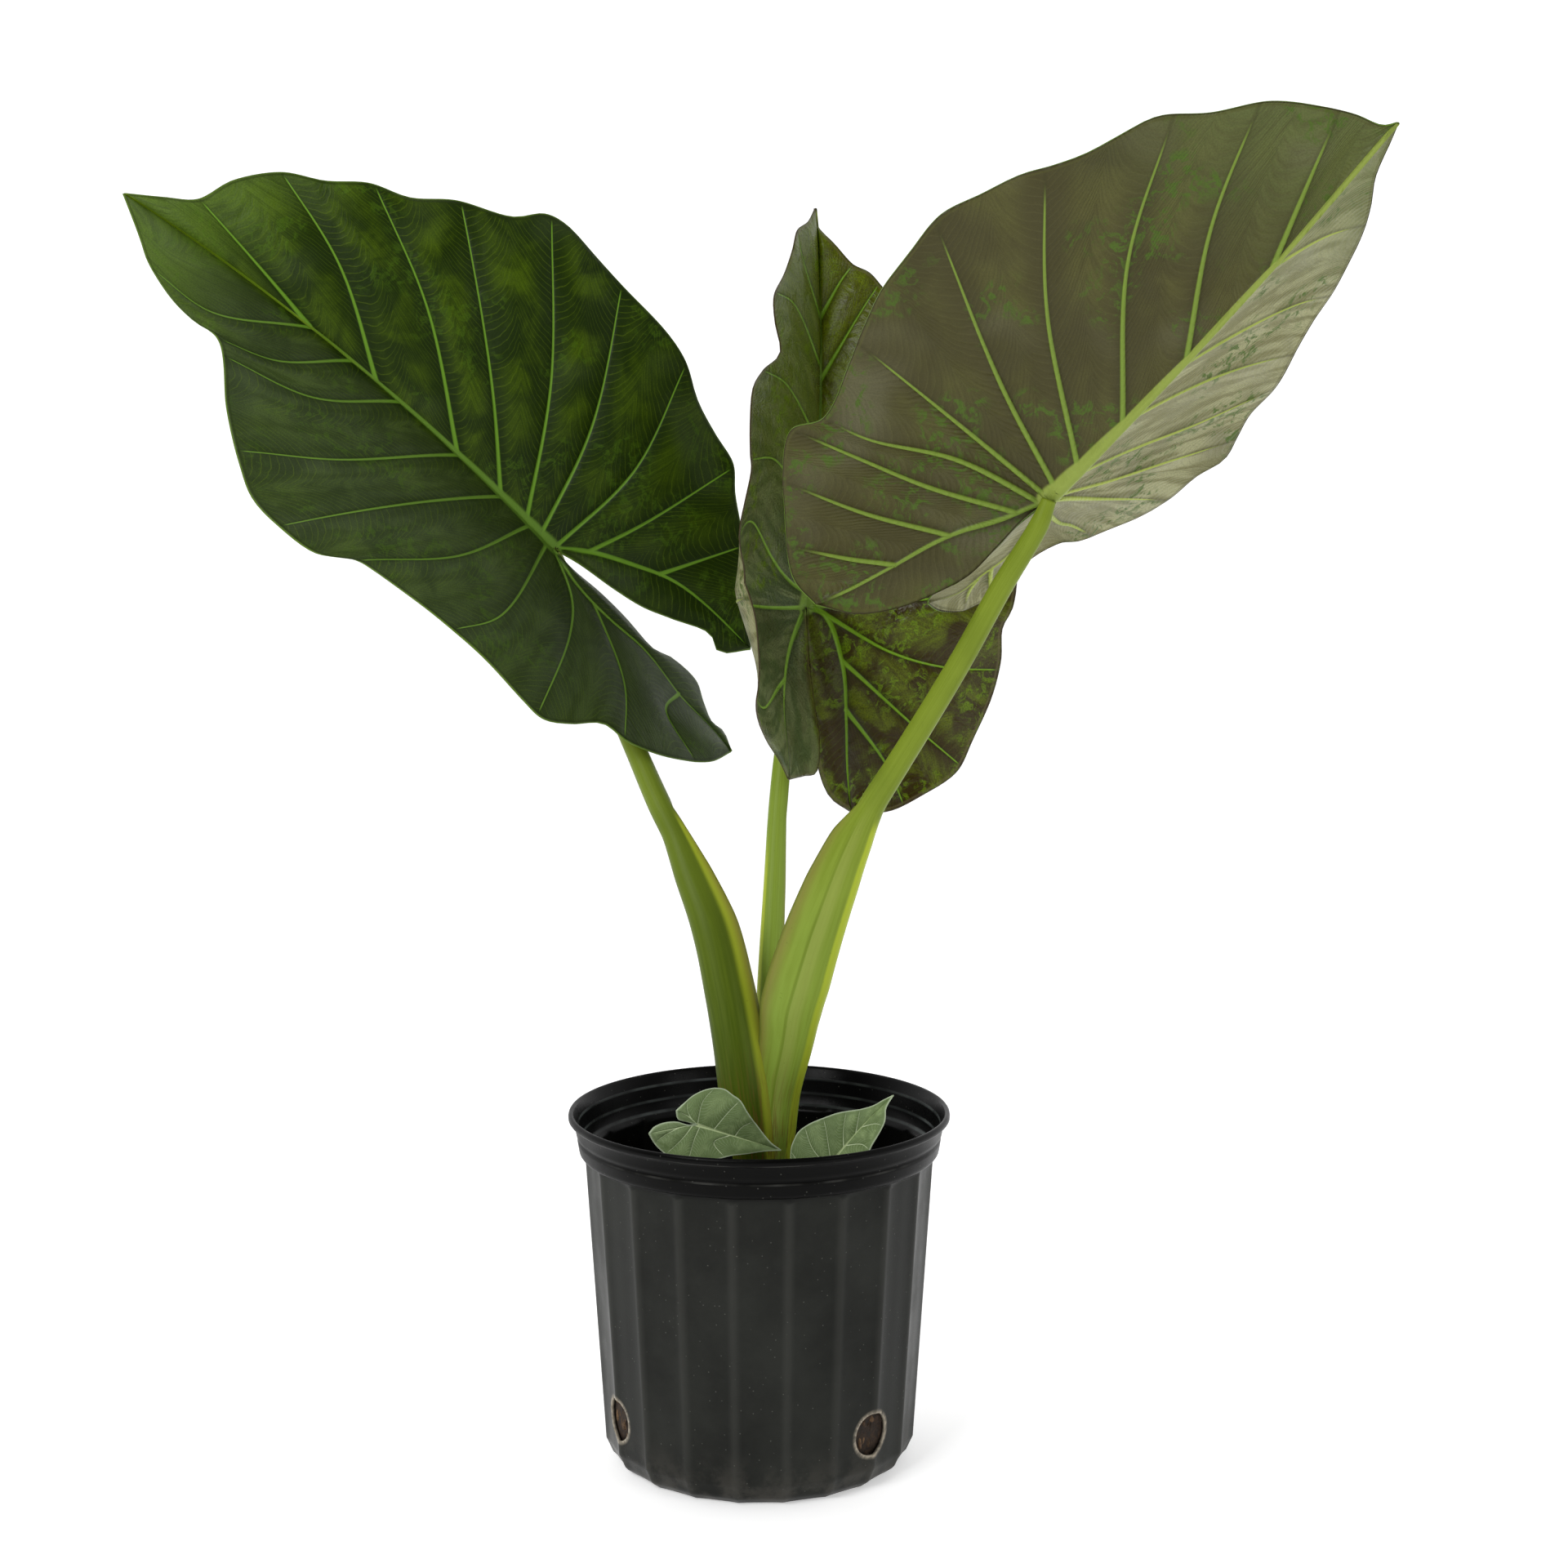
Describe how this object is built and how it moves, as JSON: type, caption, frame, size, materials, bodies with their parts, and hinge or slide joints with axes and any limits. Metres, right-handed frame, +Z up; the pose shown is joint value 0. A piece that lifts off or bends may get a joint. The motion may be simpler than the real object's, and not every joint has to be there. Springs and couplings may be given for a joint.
{
  "type": "potted shield-leaf alocasia",
  "caption": "Young alocasia with big waved shield leaves on sheathed stems, growing in a fluted round nursery pot filled with bark soil.",
  "frame": {"origin": "on the pot's axis, on the flat underside that the pot stands on", "axes": "+Z up along the pot's axis; -Y is the front, where the picture was taken from; +X is the picture's right"},
  "size_m": [0.8021, 0.391, 0.883],
  "materials": {
    "pot": "satin",
    "soil": "matte",
    "corm": "matte",
    "stem": "satin",
    "leaf": "satin",
    "bronze": "satin",
    "pup": "matte"
  },
  "bodies": {
    "root": {"pot": "pot", "soil": "soil", "corm": "corm", "stem_right": "stem", "stem_left": "stem", "stem_middle": "stem", "stem_pup_left": "stem", "stem_pup_right": "stem", "blade_left": "leaf", "blade_middle": "leaf", "blade_right": "bronze", "blade_pup_left": "pup", "blade_pup_right": "pup"}
  },
  "joints": []
}
